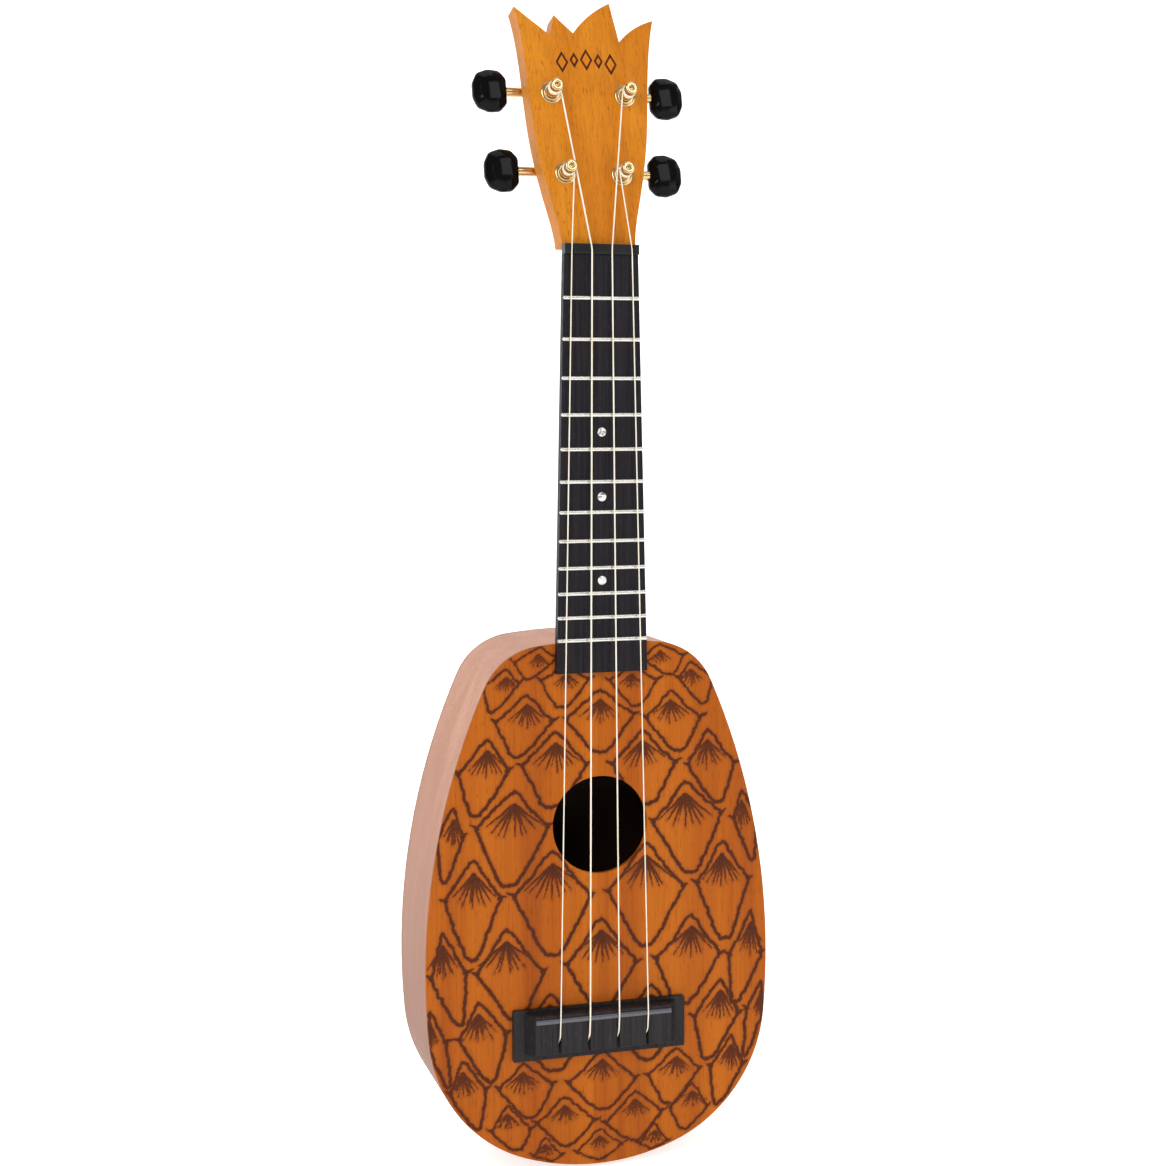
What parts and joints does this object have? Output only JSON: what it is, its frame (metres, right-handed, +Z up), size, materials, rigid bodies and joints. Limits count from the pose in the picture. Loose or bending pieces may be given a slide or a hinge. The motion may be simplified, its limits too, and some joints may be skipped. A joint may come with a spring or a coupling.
{
  "type": "ukulele",
  "caption": "Small four-string ukulele with a crown-shaped headstock, geared tuners with black buttons, and a hollow body burned with a fruit-skin pattern.",
  "frame": {"origin": "middle of the nut's front edge in the plane of the fingerboard's top, where a hanger holds the neck", "axes": "+Z up along the neck, -Y towards the player's audience out of the soundboard, +X to the right seen from the front"},
  "size_m": [0.165, 0.0674, 0.5359],
  "materials": {
    "soundboard_wood": "satin varnish, orange-brown with burned dark lines",
    "side_wood": "satin, pale pinkish brown",
    "bare_wood": "bare, unfinished",
    "neck_wood": "satin varnish, golden orange",
    "black_board": "satin black stain",
    "black_nut": "satin",
    "fret_wire": "polished along the crown",
    "pearl": "pearl-like gloss",
    "black_bridge": "satin black stain",
    "black_saddle": "gloss",
    "nylon": "clear white monofilament",
    "gold_metal": "polished gold plate",
    "black_button": "gloss"
  },
  "bodies": {
    "root": {"soundboard": "soundboard_wood", "back": "side_wood", "side_bass": "side_wood", "side_treble": "side_wood", "soundboard_linings": "bare_wood", "back_linings": "bare_wood", "neck_block": "bare_wood", "tail_block": "bare_wood", "soundboard_braces": "bare_wood", "bridge_plate": "bare_wood", "back_braces": "bare_wood", "neck": "neck_wood", "fingerboard": "black_board", "nut": "black_nut", "fret_01": "fret_wire", "fret_02": "fret_wire", "fret_03": "fret_wire", "fret_04": "fret_wire", "fret_05": "fret_wire", "fret_06": "fret_wire", "fret_07": "fret_wire", "fret_08": "fret_wire", "fret_09": "fret_wire", "fret_10": "fret_wire", "fret_11": "fret_wire", "fret_12": "fret_wire", "position_dots": "pearl", "bridge": "black_bridge", "saddle": "black_saddle", "string_g": "nylon", "string_c": "nylon", "string_e": "nylon", "string_a": "nylon", "post_bushings": "gold_metal", "plate_screws": "gold_metal", "tuner_plate_g": "gold_metal", "tuner_plate_c": "gold_metal", "tuner_plate_e": "gold_metal", "tuner_plate_a": "gold_metal"},
    "button_shaft_g": {"worm_shaft_g": "gold_metal", "button_g": "black_button"},
    "post_g": {"string_post_g": "gold_metal", "worm_wheel_g": "gold_metal", "wheel_screw_g": "gold_metal"},
    "button_shaft_c": {"worm_shaft_c": "gold_metal", "button_c": "black_button"},
    "post_c": {"string_post_c": "gold_metal", "worm_wheel_c": "gold_metal", "wheel_screw_c": "gold_metal"},
    "button_shaft_e": {"worm_shaft_e": "gold_metal", "button_e": "black_button"},
    "post_e": {"string_post_e": "gold_metal", "worm_wheel_e": "gold_metal", "wheel_screw_e": "gold_metal"},
    "button_shaft_a": {"worm_shaft_a": "gold_metal", "button_a": "black_button"},
    "post_a": {"string_post_a": "gold_metal", "worm_wheel_a": "gold_metal", "wheel_screw_a": "gold_metal"}
  },
  "joints": [
    {"name": "button_turn_g", "type": "hinge", "parent": "root", "child": "button_shaft_g", "pos_m": [-0.0133, 0.02684, 0.03871], "axis": [1, 0, 0], "continuous": true},
    {"name": "post_turn_g", "type": "hinge", "parent": "root", "child": "post_g", "pos_m": [-0.0133, 0.01099, 0.03653], "axis": [0, -0.9763, 0.2164], "continuous": true},
    {"name": "button_turn_c", "type": "hinge", "parent": "root", "child": "button_shaft_c", "pos_m": [-0.0174, 0.03493, 0.07522], "axis": [1, 0, 0], "continuous": true},
    {"name": "post_turn_c", "type": "hinge", "parent": "root", "child": "post_c", "pos_m": [-0.0174, 0.01909, 0.07305], "axis": [0, -0.9763, 0.2164], "continuous": true},
    {"name": "button_turn_e", "type": "hinge", "parent": "root", "child": "button_shaft_e", "pos_m": [0.0174, 0.03493, 0.07522], "axis": [1, 0, 0], "continuous": true},
    {"name": "post_turn_e", "type": "hinge", "parent": "root", "child": "post_e", "pos_m": [0.0174, 0.01909, 0.07305], "axis": [0, -0.9763, 0.2164], "continuous": true},
    {"name": "button_turn_a", "type": "hinge", "parent": "root", "child": "button_shaft_a", "pos_m": [0.0133, 0.02684, 0.03871], "axis": [1, 0, 0], "continuous": true},
    {"name": "post_turn_a", "type": "hinge", "parent": "root", "child": "post_a", "pos_m": [0.0133, 0.01099, 0.03653], "axis": [0, -0.9763, 0.2164], "continuous": true}
  ],
  "couplings": [
    {"joint": "post_turn_g", "follows": "button_turn_g", "ratio": 0.071429},
    {"joint": "post_turn_c", "follows": "button_turn_c", "ratio": 0.071429},
    {"joint": "post_turn_e", "follows": "button_turn_e", "ratio": 0.071429},
    {"joint": "post_turn_a", "follows": "button_turn_a", "ratio": 0.071429}
  ]
}
